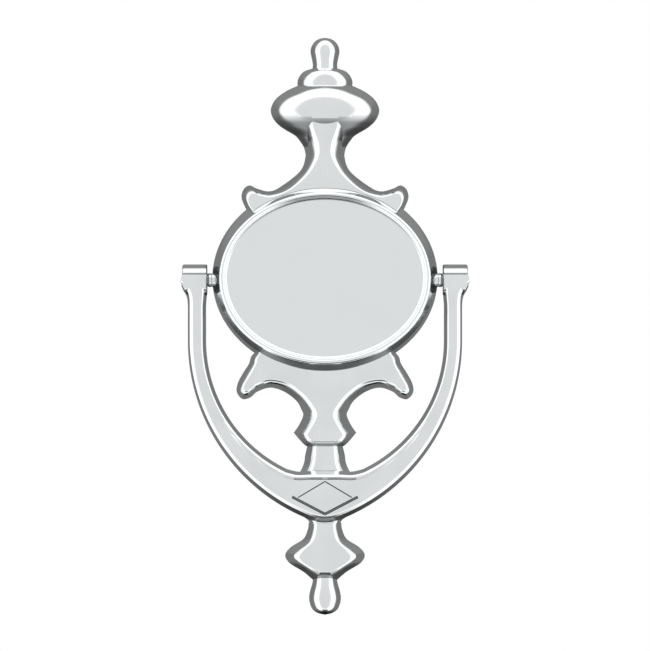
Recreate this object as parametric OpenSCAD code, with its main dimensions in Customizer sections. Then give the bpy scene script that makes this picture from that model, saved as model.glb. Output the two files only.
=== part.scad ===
// Door knocker: a cast back plate with an oval drum, a raised oval plate and a swinging bail.
// Millimetres. X is to the right, +Z is up, the front faces -Y and the door plane is y = 0.
// The origin is midway between the two mounting studs, on the door plane.

/* [Oval drum] */
// Width of the oval drum
drum_w = 79; // [66:0.5:95]
// Height of the oval drum
drum_h = 67.2; // [56:0.5:81]
// Depth of the drum from the door
drum_depth = 12; // [11:0.5:14]
// Side wall of the hollow drum
drum_wall = 3; // [2:0.25:4]
// Front wall of the hollow drum
drum_floor = 2.5; // [2:0.25:3]

/* [Oval plate] */
// Ledge of the drum left showing at each side of the oval plate
ledge_x = 2.25; // [1.5:0.25:4]
// Ledge of the drum left showing above and below the oval plate
ledge_z = 3.2; // [2:0.25:5]
// Thickness of the oval plate's flat field
field_t = 2; // [1.75:0.25:3]
// Height of the beaded rim above the flat field
rim_rise = 1.6; // [1:0.2:2.4]
// Width of the beaded rim with its cove
rim_w = 3.9; // [3:0.1:5]
// Distance between the two screws that hold the oval plate
plate_screw_gap = 44; // [36:1:50]

/* [Upper stem] */
// Height of the bulb's widest ring above the drum
bulb_lift = 26.8; // [24:0.2:32]
// Half width of the bulb
bulb_r = 19.1; // [16:0.1:22]
// Depth of the turned shapes as a share of their half width
turned_depth = 0.72; // [0.6:0.02:0.8]
// Half width of the waist under the bulb
waist_r = 6.8; // [5.8:0.1:8.2]
// Reach of the horns from the centre line
horn_x = 29.4; // [26:0.2:32]

/* [Lower stem] */
// Reach of the ears from the centre line
ear_x = 31.2; // [28:0.2:34]
// Drop of the ears and neck below the drum, to the tip of the pointed collar
collar_drop = 20.7; // [18:0.1:24]
// Half width of the pointed collar
collar_r = 11; // [9.5:0.1:12.5]
// Half width of the strike boss
boss_r = 11.5; // [10:0.1:13]
// Depth of the strike boss from the door
boss_depth = 5.2; // [4.8:0.1:5.6]
// Depth of the bulge from the door
bulge_depth = 8.5; // [7.5:0.25:10]
// Half width of the bulge under the bail
bulge_r = 14; // [12:0.1:16]
// Half width of the drop at the lower end
drop_r = 5.6; // [4.8:0.1:6.6]

/* [Bail] */
// Distance from the pivot down to the bail's tip
bail_drop = 85; // [80:0.5:102]
// Thickness of the bail from front to back
bail_t = 5.8; // [5.2:0.1:6.2]
// Width of each arm
arm_w = 6.4; // [5.4:0.1:7.6]
// Height of the crosspiece on the centre line
cross_h = 18; // [15:0.2:20]
// Radius of the barrel lug on each arm
lug_r = 5.5; // [4.8:0.1:5.8]
// Width of the barrel lug
lug_w = 8.7; // [7.5:0.1:10]

/* [Pins] */
// Diameter of the pivot pins
pin_d = 4; // [3:0.1:4.8]
// Gap between the drum and a lug, filled by a washer
pivot_gap = 1.8; // [1.4:0.1:2.6]
// Height of the pivot below the drum's centre
pivot_sag = 0.7; // [0:0.1:2]

/* [Mounting] */
// Diameter of the mounting studs
stud_d = 4.83; // [4:0.01:6]
// Thickness of the door
door_t = 44.5; // [35:0.5:58]
// Diameter of the finish washers
washer_d = 16; // [14:0.5:20]
// Width across the flats of the cap nuts
nut_af = 9.5; // [8.5:0.1:11]

/* [Clearances] */
// Radial clearance of the pins in the bail
run_fit = 0.05; // [0.03:0.01:0.09]
// Radial clearance of threads and pressed pieces
seat_fit = 0.02; // [0.01:0.01:0.04]
// Gap left at rest between the striker and the anvil
rest_gap = 0.3; // [0.2:0.05:0.4]
// Side play of a washer beside its lug
side_play = 0.1; // [0.05:0.05:0.2]

/* [Hidden] */
$fn = 64;
eps = 0.01;

// Heights measured from the drum's centre
drum_a = drum_w / 2;
drum_b = drum_h / 2;
bulb_z = drum_b + bulb_lift;
pivot_z = -pivot_sag;
tip_z = pivot_z - bail_drop;
boss_z = tip_z + cross_h / 2 - 0.2;
bulge_z = tip_z - 11.7;
collar_z = -drum_b - collar_drop;
// The drum's centre, measured from the middle of the two studs
oval_z = -(bulb_z + bulge_z) / 2;

// Depths, as y values
drum_y = -drum_depth;
cavity_y = drum_y + drum_floor;
field_y = drum_y - field_t;
rim_y = field_y - rim_rise;
pin_in = 3;                            // from the drum's front to the pins' axis
pivot_y = drum_y + pin_in;
bail_front = 4.8;                      // from the pin's axis to the bail's front face
bail_y = pivot_y - bail_front;         // front face of the bail
bail_back = bail_y + bail_t;
boss_y = -boss_depth;
knob_gap = (boss_y - bail_back - rest_gap) / 2;    // height of the striker and of the anvil

// Bail
arm_in = drum_a + pivot_gap;           // inner half width at the lugs
arm_x = arm_in + 0.4;                  // inner half width of the arms
arm_out = arm_x + arm_w;
arm_top = -22;                         // where the arms start to curve in
nose_x = 10.5;                         // half width of the crosspiece's upper edge
lug_out = arm_in + lug_w;

// Pins and washers
pin_r = pin_d / 2;
pin_seat = drum_a - 5.5;               // inner end of each pin, in the drum's side
pin_boss_r = min(pin_r + 0.9, pin_in - 0.05);    // stays behind the drum's front
washer_rim = 0.45;                     // how far a pivot washer stands proud of its pin

// Screws of the oval plate
post_r = 2.6;
plate_screw_r = 1.5;
plate_head_r = 3.3;
plate_head_h = 2;

// Mounting
stud_r = stud_d / 2;
thread_r = stud_r - 0.25;              // the reduced, threaded ends in the casting and the nut
mouth_h = 0.3;                         // depth of the wider mouth of each stud hole
washer_t = 1.6;
stud_deep = 5.5;                       // how far a stud screws into the casting
nut_h = 4;
dome_h = 4.6;

// Striker and anvil
knob_stem_r = 1.5;
knob_stem = 3;                         // how far each is pressed in
striker_r = 4;
anvil_r = 4.5;

// ---------- shared shapes ----------

// Points along a smooth curve through all of p, n to a span
function bend(a, b, c, d, t) = 0.5 * (2 * b + (c - a) * t + (2 * a - 5 * b + 4 * c - d) * t * t
    + (3 * b - a - 3 * c + d) * t * t * t);
function smooth(p, n) = concat([for (i = [0 : len(p) - 2], k = [0 : n - 1])
    bend(p[max(i - 1, 0)], p[i], p[i + 1], p[min(i + 2, len(p) - 1)], k / n)], [p[len(p) - 1]]);

// A whole outline from its right half, listed from top to bottom
function mirrored(half) = concat([for (i = [len(half) - 1 : -1 : 0]) half[i]],
    [for (q = half) if (q[0] > eps) [-q[0], q[1]]]);

function ellipse(a, b, n) = [for (i = [0 : n - 1]) [a * cos(360 * i / n), b * sin(360 * i / n)]];

// The outline moved inwards by d, and by lean more or less where it faces down or up
function unit(v) = v / norm(v);
function facing(p, i) = let (n = len(p), t = unit(p[(i + 1) % n] - p[(i + n - 1) % n])) [t[1], -t[0]];
function inset(p, d, lean) = [for (i = [0 : len(p) - 1]) let (f = facing(p, i))
    p[i] - f * (d - lean * f[1])];

// A closed solid through rings of equal length, from the door side to the front
module loft(rings) {
    n = len(rings[0]);
    m = len(rings);
    polyhedron(
        points = [for (r = rings, q = r) q],
        faces = concat([[for (i = [0 : n - 1]) i]],
            [for (k = [0 : m - 2], i = [0 : n - 1])
                [k * n + i, k * n + n + i, k * n + n + (i + 1) % n, k * n + (i + 1) % n]],
            [[for (i = [n - 1 : -1 : 0]) (m - 1) * n + i]]),
        convexity = 8);
}

function at_y(p, y) = [for (q = p) [q[0], y, q[1]]];

// Cast relief with drafted sides and a bevelled face
module relief(outline, depth, draft = 1.9, lean = 0.7, bevel = 0.7) {
    loft([at_y(outline, 0), at_y(outline, -1.5),
          at_y(inset(outline, draft, lean), bevel - depth),
          at_y(inset(outline, draft + bevel, lean), -depth)]);
}

// Half of a turned form, flattened in depth: profile is [half width, z] from bottom to top
module half_turned(profile, n = 12) {
    loft_up([for (q = profile) concat(
        [for (i = [0 : n]) let (a = 180 * i / n) [q[0] * cos(a), -q[0] * turned_depth * sin(a), q[1]]])]);
}

// A closed solid through level rings, from bottom to top
module loft_up(rings) {
    n = len(rings[0]);
    m = len(rings);
    polyhedron(
        points = [for (r = rings, q = r) q],
        faces = concat([[for (i = [n - 1 : -1 : 0]) i]],
            [for (k = [0 : m - 2], i = [0 : n - 1])
                [k * n + i, k * n + (i + 1) % n, k * n + n + (i + 1) % n, k * n + n + i]],
            [[for (i = [0 : n - 1]) (m - 1) * n + i]]),
        convexity = 6);
}

// A cylinder along +Y from y0 to y1
module rod_y(r, y0, y1) { translate([0, y0, 0]) rotate([-90, 0, 0]) cylinder(r = r, h = y1 - y0); }

// A cylinder along X from x0 to x1, either side of the centre line
module rod_x(side, r, x0, x1) {
    translate([side * x0, 0, 0]) rotate([0, side * 90, 0]) cylinder(r = r, h = x1 - x0);
}

// Joins cast shapes into one closed skin, before any bore is cut in it
module one_skin() { resize([0, 0, 0]) union() { children(); } }

// ---------- outlines, measured from the drum's centre ----------

horn_root = [[waist_r + 2, bulb_z - 4], [waist_r + 0.4, bulb_z - 11.5], [waist_r, bulb_z - 17],
    [waist_r + 1.9, drum_b + 4.2], [waist_r + 8.9, drum_b - 1.4], [waist_r + 12.9, drum_b - 3],
    [horn_x - 5.4, drum_b - 2], [horn_x - 2.9, drum_b - 0.9], [horn_x - 0.8, drum_b - 2.2],
    [horn_x, drum_b - 5], [horn_x - 1, drum_b - 8], [horn_x - 2.2, drum_b - 10.4]];
upper_outline = mirrored(concat(smooth(horn_root, 2), [[horn_x - 8, drum_b - 16]]));

ear_edge = [[ear_x - 7, 8 - drum_b], [ear_x - 5.2, 6 - drum_b], [ear_x - 4.4, 3.5 - drum_b],
    [ear_x - 2.2, -drum_b], [ear_x - 0.4, -3.6 - drum_b], [ear_x - 0.2, -6.6 - drum_b],
    [ear_x - 2.2, -8.9 - drum_b], [ear_x - 5, -8.3 - drum_b], [ear_x - 7.4, -6.3 - drum_b],
    [ear_x - 12, -4.9 - drum_b], [waist_r + 7.6, -6.3 - drum_b], [waist_r + 3.4, -9.4 - drum_b],
    [waist_r + 1.5, -12.6 - drum_b], [waist_r + 0.9, collar_z + 6], [collar_r - 1.8, collar_z + 2.6],
    [collar_r, collar_z]];
ear_foot = [[collar_r - 2.4, collar_z - 3.1], [waist_r - 1.2, collar_z - 4.7]];
lower_outline = mirrored(concat(smooth(ear_edge, 2), ear_foot));

boss_edge = [[waist_r - 1.6, collar_z + 2], [waist_r + 0.7, collar_z - 4.8], [waist_r - 0.2, collar_z - 8.4],
    [waist_r + 0.5, collar_z - 11.6], [boss_r, boss_z + 3], [boss_r, boss_z - 2],
    [boss_r - 3.4, boss_z - 6.5], [waist_r - 1.4, tip_z - 0.6], [waist_r - 1.8, tip_z - 9]];
boss_outline = mirrored(smooth(boss_edge, 2));

bulge_edge = [[waist_r - 1, tip_z - 0.4], [waist_r - 0.8, tip_z - 2.5], [bulge_r - 6.4, tip_z - 6],
    [bulge_r - 2, tip_z - 8.9], [bulge_r, tip_z - 11.7], [bulge_r - 1.6, tip_z - 14.6],
    [bulge_r - 6.4, tip_z - 17.6], [3.6, tip_z - 21]];
bulge_outline = mirrored(smooth(bulge_edge, 2));

// Turned forms, from bottom to top, as [half width, height]
bulb_cove = [[waist_r, -17], [waist_r + 0.7, -14.2], [waist_r + 2.5, -11.5], [bulb_r - 8.3, -10],
    [bulb_r - 3.7, -7.2], [bulb_r - 1, -4.4], [bulb_r, -1], [bulb_r - 1.7, 2.6], [bulb_r - 5.3, 5.4],
    [9.8, 7.3]];
collar_dome = [[9.6, 7.3], [9.7, 8.6], [9.4, 9.8], [8.6, 11.2], [7.2, 12.5], [4.5, 13.4]];
finial_ball = [[4.4, 13.4], [4.3, 15], [4.8, 17.6], [5.1, 19.4], [4.7, 21.3], [3.5, 23],
    [1.9, 23.9], [0.2, 24.2]];
finial_profile = concat(smooth(bulb_cove, 2), smooth(collar_dome, 2), smooth(finial_ball, 2));
drop_ball = [[0.2, -32.7], [2.6, -32.1], [4.4, -30.8], [drop_r - 0.3, -28.8], [drop_r, -26.6],
    [drop_r - 0.4, -24.2], [4.5, -21.8], [4.1, -19.4], [4.1, -17]];
drop_profile = smooth(drop_ball, 2);

// Bail: each side is one arc that starts upright at the arm and ends at the crosspiece
function arc_r(w, d) = (w * w + d * d) / (2 * w);
// Points on the arc from [x, top], upright there, in by w and down by d
function side_arc(x, top, w, d, n) = let (r = arc_r(w, d), last = asin(d / r))
    [for (i = [0 : n]) let (a = last * i / n) [x - r + r * cos(a), top - r * sin(a)]];
cross_z = tip_z + cross_h;
tip_w = 5.9;                           // half width of the rounded tip
tip_r = 14;                            // radius of the rounded tip
outer_edge = concat(
    [[arm_in, pivot_z + 2], [lug_out, pivot_z + 2], [lug_out + 0.9, pivot_z - 0.6], [arm_out, pivot_z - 6]],
    side_arc(arm_out, arm_top, arm_out - tip_w, arm_top - tip_z - tip_w * tip_w / (2 * tip_r), 16),
    [for (x = [tip_w * 2 / 3, tip_w / 3, 0]) [x, tip_z + x * x / (2 * tip_r)]]);
// What is cut from a barrel, just inside the flare of the arm
flare_cut = [[lug_out + 0.7, pivot_z - 0.6], [arm_out - 0.2, pivot_z - 6], [lug_out + 3, pivot_z - 8]];
function reversed(p) = [for (i = [len(p) - 1 : -1 : 0]) p[i]];
inner_up = concat([[0, cross_z], [nose_x / 2, cross_z - 0.15]],
    reversed(side_arc(arm_x, arm_top, arm_x - nose_x, arm_top - cross_z + 0.5, 14)),
    [[arm_x, pivot_z - 8], [arm_in, pivot_z - 5]]);
// Right half, from the tip up the outside and back down the inside
bail_right = concat(reversed(outer_edge), reversed(inner_up));
bail_outline = concat([for (q = bail_right) q],
    [for (i = [len(bail_right) - 2 : -1 : 1]) [-bail_right[i][0], bail_right[i][1]]]);

// ---------- sub-parts ----------

module drum_cavity() {
    translate([0, 1, 0]) rotate([90, 0, 0]) linear_extrude(1 - cavity_y)
        polygon(ellipse(drum_a - drum_wall, drum_b - drum_wall, 60));
}

module casting() {
    difference() {
        union() {
            rotate([90, 0, 0]) linear_extrude(drum_depth) polygon(ellipse(drum_a, drum_b, 60));
            relief(upper_outline, drum_depth);
            relief(lower_outline, drum_depth - 1);
        }
        drum_cavity();
    }
    relief(boss_outline, boss_depth);
    relief(bulge_outline, bulge_depth);
    translate([0, 0, bulb_z]) half_turned(finial_profile);
    translate([0, 0, tip_z]) half_turned(drop_profile);
    for (s = [-1, 1]) translate([0, pivot_y, pivot_z]) {
        rod_x(s, pin_boss_r, pin_seat, drum_a - 1, $fn = 32);
        rod_x(s, pin_r + washer_rim, drum_a - 2, drum_a + 0.1, $fn = 32);
    }
}

// Blind holes for the mounting studs
module stud_holes() {
    for (z = [bulb_z, bulge_z]) translate([0, 0, z]) {
        rod_y(thread_r + seat_fit, -stud_deep, 1);
        rod_y(stud_r + seat_fit, -mouth_h, 1);
    }
}

module back_plate() color("silver") translate([0, 0, oval_z]) difference() {
    difference() {
        one_skin() casting();
        stud_holes();
    }
    // bores for the pivot pins
    for (s = [-1, 1]) translate([0, pivot_y, pivot_z])
        rod_x(s, pin_r + seat_fit, pin_seat - 1, drum_a + 1);
    // clearance holes for the posts of the oval plate
    for (s = [-1, 1]) translate([s * plate_screw_gap / 2, 0, 0])
        rod_y(post_r + 0.1, drum_y - 1, cavity_y + 1);
    // blind hole for the anvil's stem
    translate([0, 0, boss_z]) rod_y(knob_stem_r + seat_fit, boss_y - 1, boss_y + knob_stem + 0.2);
}

module oval_plate() color("gainsboro") translate([0, 0, oval_z]) {
    // bead and cove of the rim, as [inset, y]
    steps = [[0, drum_y], [0, rim_y + 0.9], [0.35, rim_y + 0.3], [1.1, rim_y], [1.9, rim_y + 0.3],
        [2.4, rim_y + 0.9], [3.1, field_y - 0.2], [rim_w, field_y]];
    difference() {
        union() {
            one_skin() loft([for (s = steps) at_y(inset_ellipse(s[0]), s[1])]);
            for (s = [-1, 1]) translate([s * plate_screw_gap / 2, 0, 0])
                rod_y(post_r, drum_y - 0.5, cavity_y - 0.1);
        }
        for (s = [-1, 1]) translate([s * plate_screw_gap / 2, 0, 0])
            rod_y(plate_screw_r + seat_fit, field_y + 0.9, cavity_y + 1);
    }
}
function inset_ellipse(d) = inset(ellipse(drum_a - ledge_x, drum_b - ledge_z, 60), d, 0);

module oval_plate_screw(s) color("darkgray") translate([s * plate_screw_gap / 2, 0, oval_z]) {
    rod_y(plate_screw_r, field_y + 1, cavity_y + eps);
    difference() {
        rod_y(plate_head_r, cavity_y, cavity_y + plate_head_h);
        translate([-plate_head_r, cavity_y + plate_head_h - 0.9, -0.4])
            cube([2 * plate_head_r, 1, 0.8]);
    }
}

// A barrel lug, cut back along the flare where it runs into its arm
module barrel(s) difference() {
    translate([0, pivot_y, pivot_z]) rod_x(s, lug_r, arm_in, lug_out);
    translate([0, pivot_y + lug_r + 1, 0]) rotate([90, 0, 0]) linear_extrude(2 * lug_r + 2)
        polygon([for (q = flare_cut) [s * q[0], q[1]]]);
}

module knocker_bail() color("lightgray") translate([0, 0, oval_z]) difference() {
    union() {
        one_skin() loft([at_y(bail_outline, bail_back), at_y(bail_outline, bail_y + 1),
            at_y(inset(bail_outline, 0.8, 0), bail_y)]);
        for (s = [-1, 1]) barrel(s);
    }
    for (s = [-1, 1]) translate([0, pivot_y, pivot_z])
        rod_x(s, pin_r + run_fit, arm_in - 1, lug_out + 1);
    translate([0, 0, boss_z]) rod_y(knob_stem_r + seat_fit, bail_back - knob_stem - 0.2, bail_back + 1);
    lozenge_groove();
}

// The incised lozenge on the crosspiece
module lozenge_groove() {
    half_w = 9.7;
    half_h = 5.7;
    translate([0, bail_y, boss_z]) rotate([90, 0, 0]) translate([0, 0, -0.4]) linear_extrude(1)
        difference() {
            polygon([[half_w, 0], [0, half_h], [-half_w, 0], [0, -half_h]]);
            polygon([[half_w - 1, 0], [0, half_h - 0.6], [1 - half_w, 0], [0, 0.6 - half_h]]);
        }
}

module striker_stud() color("silver") translate([0, 0, oval_z + boss_z]) {
    rod_y(knob_stem_r, bail_back - knob_stem, bail_back + knob_gap / 2);
    rod_y(striker_r, bail_back, bail_back + knob_gap);
}

module anvil_button() color("silver") translate([0, 0, oval_z + boss_z]) {
    rod_y(knob_stem_r, boss_y - knob_gap / 2, boss_y + knob_stem);
    rod_y(anvil_r, boss_y - knob_gap, boss_y);
}

module pivot_pin(s) color("silver") translate([0, pivot_y, oval_z + pivot_z])
    rod_x(s, pin_r, pin_seat, lug_out - 0.2);

module pivot_washer(s) color("silver") translate([0, pivot_y, oval_z + pivot_z]) difference() {
    rod_x(s, pin_r + washer_rim, drum_a + 0.1, arm_in - side_play);
    rod_x(s, pin_r + seat_fit, drum_a - 1, arm_in + 1);
}

module mounting_stud(z) color("goldenrod") translate([0, 0, oval_z + z]) {
    rod_y(thread_r, -stud_deep + 0.2, 1);
    rod_y(stud_r, 0, door_t);
    rod_y(thread_r, door_t - 1, door_t + washer_t + nut_h + 2.5);
}

module finish_washer(z) color("silver") translate([0, 0, oval_z + z]) difference() {
    rod_y(washer_d / 2, door_t, door_t + washer_t);
    rod_y(thread_r + 0.1, door_t - 1, door_t + washer_t + 1);
}

module cap_nut(z) color("silver") translate([0, door_t + washer_t, oval_z + z]) difference() {
    union() {
        rotate([-90, 0, 0]) cylinder(d = nut_af / cos(30), h = nut_h, $fn = 6);
        rotate([-90, 0, 0]) rotate_extrude() intersection() {
            translate([0, nut_h - eps]) circle(r = nut_af / 2);
            translate([0, nut_h - eps]) square([nut_af, dome_h]);
        }
    }
    rod_y(thread_r + seat_fit, -1, nut_h + 3);
}

back_plate();
oval_plate();
oval_plate_screw(-1);  // oval_plate_screw_left
oval_plate_screw(1);  // oval_plate_screw_right
knocker_bail();
striker_stud();
anvil_button();
pivot_pin(-1);  // pivot_pin_left
pivot_pin(1);  // pivot_pin_right
pivot_washer(-1);  // pivot_washer_left
pivot_washer(1);  // pivot_washer_right
mounting_stud(bulb_z);  // mounting_stud_upper
mounting_stud(bulge_z);  // mounting_stud_lower
finish_washer(bulb_z);  // finish_washer_upper
finish_washer(bulge_z);  // finish_washer_lower
cap_nut(bulb_z);  // cap_nut_upper
cap_nut(bulge_z);  // cap_nut_lower
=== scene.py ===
"""Looks of a chromed door knocker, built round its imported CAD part.

The castings are lofted and turned from flowing outlines, with drafted sides and rounded bevels, and
the pins, washers, studs and nuts are turned or threaded. Lengths in this file are millimetres unless
a name says otherwise, and the meshes are made in metres, in the CAD frame: X to the right, Z up, and
the front faces -Y.
"""

import logging
import math
from dataclasses import dataclass
from enum import Enum
from typing import Callable, Iterable, Sequence

import bmesh
import bpy
import numpy as np
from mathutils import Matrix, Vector


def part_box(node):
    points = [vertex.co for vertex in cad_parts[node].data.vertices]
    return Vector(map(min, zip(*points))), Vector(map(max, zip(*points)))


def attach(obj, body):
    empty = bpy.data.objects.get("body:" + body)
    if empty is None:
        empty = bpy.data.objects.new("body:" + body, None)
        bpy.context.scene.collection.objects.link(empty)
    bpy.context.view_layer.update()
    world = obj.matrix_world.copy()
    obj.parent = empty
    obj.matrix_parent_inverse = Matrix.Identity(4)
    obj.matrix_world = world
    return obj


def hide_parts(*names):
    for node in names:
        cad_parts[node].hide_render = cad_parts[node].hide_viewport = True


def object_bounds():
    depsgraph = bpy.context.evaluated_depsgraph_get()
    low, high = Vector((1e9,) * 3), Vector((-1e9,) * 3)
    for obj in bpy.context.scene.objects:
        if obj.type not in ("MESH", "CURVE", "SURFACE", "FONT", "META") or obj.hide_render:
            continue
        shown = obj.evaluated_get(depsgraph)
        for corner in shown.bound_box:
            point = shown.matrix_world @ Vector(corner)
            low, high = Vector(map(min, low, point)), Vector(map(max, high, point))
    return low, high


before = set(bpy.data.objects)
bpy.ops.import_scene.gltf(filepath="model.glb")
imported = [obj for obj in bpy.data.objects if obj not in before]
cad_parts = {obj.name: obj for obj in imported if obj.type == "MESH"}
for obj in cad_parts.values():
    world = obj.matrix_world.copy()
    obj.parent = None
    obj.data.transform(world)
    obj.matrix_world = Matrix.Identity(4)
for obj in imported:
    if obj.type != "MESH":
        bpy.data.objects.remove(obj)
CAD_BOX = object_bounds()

LOG = logging.getLogger("door_knocker")
MM = 0.001
Pair = tuple[float, float]
Ring = np.ndarray


# ---------------------------------------------------------------- shader maths


class Channel:
    """A node's output that takes part in arithmetic; each operator adds one Math node."""

    def __init__(self, kit: "NodeKit", socket: bpy.types.NodeSocket) -> None:
        """Holds one output socket.

        Args:
            socket: The output to read.
        """
        self.kit = kit
        self.socket = socket

    def __add__(self, other: "Channel | float") -> "Channel":
        """The sum."""
        return self.kit.math("ADD", self, other)

    __radd__ = __add__

    def __sub__(self, other: "Channel | float") -> "Channel":
        """The difference."""
        return self.kit.math("SUBTRACT", self, other)

    def __rsub__(self, other: float) -> "Channel":
        """The difference from a number."""
        return self.kit.math("SUBTRACT", other, self)

    def __mul__(self, other: "Channel | float") -> "Channel":
        """The product."""
        return self.kit.math("MULTIPLY", self, other)

    __rmul__ = __mul__

    def __neg__(self) -> "Channel":
        """The value with its sign turned."""
        return self.kit.math("MULTIPLY", self, -1.0)

    def __abs__(self) -> "Channel":
        """The size of the value."""
        return self.kit.math("ABSOLUTE", self)

    def rise(self, low: float, high: float) -> "Channel":
        """A smooth step from 0 at low to 1 at high; low may be the larger.

        Args:
            low: Where the step starts.
            high: Where it ends.

        Returns:
            The step's value, between 0 and 1.
        """
        node = self.kit.add(
            "ShaderNodeMapRange",
            {"interpolation_type": "SMOOTHSTEP"},
            {"Value": self, "From Min": low, "From Max": high},
        )
        return self.kit.out(node, "Result")


class NodeKit:
    """Adds nodes to one tree."""

    def __init__(self, tree: bpy.types.NodeTree) -> None:
        """Empties the tree and keeps it."""
        tree.nodes.clear()
        self.tree = tree

    def add(self, kind: str, settings: dict | None = None, sockets: dict | None = None) -> bpy.types.Node:
        """Adds a node.

        Args:
            kind: The node's type.
            settings: Its properties.
            sockets: A value, a Channel or an output for each input, by name or number.

        Returns:
            The node.
        """
        node = self.tree.nodes.new(kind)
        for name, value in (settings or {}).items():
            setattr(node, name, value)
        for name, value in (sockets or {}).items():
            self.feed(node.inputs[name], value)
        return node

    def feed(self, socket: bpy.types.NodeSocket, value: object) -> None:
        """Links a Channel or an output to an input, or sets the input's own value."""
        if isinstance(value, Channel):
            self.tree.links.new(value.socket, socket)
        elif isinstance(value, bpy.types.NodeSocket):
            self.tree.links.new(value, socket)
        else:
            socket.default_value = value

    def out(self, node: bpy.types.Node, name: str | int = 0) -> Channel:
        """One output of a node, ready for arithmetic."""
        return Channel(self, node.outputs[name])

    def math(self, operation: str, *values: "Channel | float") -> Channel:
        """A Math node on one to three values."""
        node = self.add("ShaderNodeMath", {"operation": operation}, dict(enumerate(values)))
        return self.out(node)

    def blend(self, share: "Channel | float", first: object, second: object) -> Channel:
        """Mixes two colours.

        Args:
            share: 0 for the first colour, 1 for the second.
            first: A colour or a Channel.
            second: A colour or a Channel.

        Returns:
            The mixed colour.
        """
        node = self.add("ShaderNodeMix", {"data_type": "RGBA"}, {0: share, 6: first, 7: second})
        return self.out(node, 2)

    def noise(
        self, place: object, size_mm: float, detail: float, stretch: Sequence[float] = (1, 1, 1)
    ) -> Channel:
        """Noise of a given grain in object space.

        Args:
            place: The coordinates to use, in metres.
            size_mm: The size of its grain.
            detail: Octaves of finer grain.
            stretch: How much finer the grain is along each axis.

        Returns:
            A value about 0.5.
        """
        factors = [s / (size_mm * MM) for s in stretch]
        scaled = self.add("ShaderNodeVectorMath", {"operation": "MULTIPLY"}, {0: place, 1: factors})
        sockets = {"Vector": scaled.outputs[0], "Scale": 1.0, "Detail": detail}
        node = self.add("ShaderNodeTexNoise", {}, sockets)
        return self.out(node, 0)


# ---------------------------------------------------------------- finishes


def grey(value: float) -> tuple[float, float, float, float]:
    """A neutral colour."""
    return (value, value, value, 1.0)


@dataclass(frozen=True)
class Finish:
    """A metal finish: its colour, how sharply it reflects, the marks on it, and the shade colour painted
    where shade falls.
    """

    name: str
    tint: tuple[float, float, float]
    roughness: float
    cloud: float = 0.03
    tone: float = 0.95
    ripple: float = 0.006
    ripple_mm: float = 2.2
    hairline: float = 0.02
    # the colour painted where shade falls, blended in by each face's painted shade value
    painted_shade_tint: tuple[float, float, float] = (0.1, 0.105, 0.11)
    metallic: float = 1.0
    grit: float = 0.0

    def material(self) -> bpy.types.Material:
        """The finish as a material, made once.

        Returns:
            The material.
        """
        made = bpy.data.materials.get(self.name)
        if made:
            return made
        made = bpy.data.materials.new(self.name)
        made.use_nodes = True
        kit = NodeKit(made.node_tree)
        place = kit.add("ShaderNodeTexCoord").outputs["Object"]
        # painted shade: each face's share of the shade colour, stored on the mesh
        painted_shade = kit.out(kit.add("ShaderNodeAttribute", {"attribute_name": "painted_shade"}), "Fac")
        clouds = kit.noise(place, 14.0, 3.0)
        specks = kit.noise(place, 0.5, 1.0)
        hairs = kit.noise(place, 0.22, 1.0, (0.05, 0.2, 1.0))
        scuffs = hairs.rise(0.6, 0.78) * clouds.rise(0.42, 0.62)
        deeper = tuple(c * self.tone for c in self.tint)
        body = kit.blend(clouds.rise(0.35, 0.7), (*self.tint, 1), (*deeper, 1))
        # paints shade: the body colour blends towards the shade tint, and the surface gets rougher there
        colour = kit.blend(painted_shade, body, (*self.painted_shade_tint, 1))
        rough = self.roughness + (clouds - 0.5) * self.cloud + scuffs * self.hairline + painted_shade * 0.25
        if self.grit:
            rough = rough + (specks - 0.5) * (self.grit * 2)
        height = kit.noise(place, self.ripple_mm, 1.0) * self.ripple + specks * (self.grit * 0.06)
        bump = kit.add("ShaderNodeBump", {}, {"Strength": 1.0, "Distance": MM, "Height": height})
        shader = kit.add(
            "ShaderNodeBsdfPrincipled",
            {},
            {"Base Color": colour, "Metallic": self.metallic, "Roughness": rough, "Normal": bump.outputs[0]},
        )
        kit.add("ShaderNodeOutputMaterial", {}, {"Surface": shader.outputs[0]})
        return made


CHROME = Finish("bright_chrome", (0.93, 0.955, 0.96), 0.13)
CHROME_OVAL = Finish("bright_chrome_oval", (0.93, 0.955, 0.96), 0.12, cloud=0.01, tone=0.99, ripple=0.002)
CHROME_BAIL = Finish("bright_chrome_bail", (0.93, 0.955, 0.96), 0.14, hairline=0.05)
CHROME_SMALL = Finish("bright_chrome_small", (0.9, 0.925, 0.93), 0.12, ripple_mm=1.0)
CAST_BACK = Finish(
    "plated_cast_back", (0.62, 0.64, 0.65), 0.46, cloud=0.1, ripple=0.05, metallic=0.75, grit=0.1
)
STRIKER = Finish("worn_striker_steel", (0.72, 0.73, 0.74), 0.24, cloud=0.12, hairline=0.12, ripple_mm=1.2)
PIN_STEEL = Finish("ground_pin_steel", (0.8, 0.81, 0.82), 0.2, hairline=0.1)
SCREW_STEEL = Finish("zinc_screw_steel", (0.74, 0.76, 0.78), 0.3, cloud=0.1, hairline=0.06)
STUD_STEEL = Finish("zinc_stud_steel", (0.7, 0.72, 0.74), 0.32, cloud=0.12, hairline=0.06)


# ---------------------------------------------------------------- outlines


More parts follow.
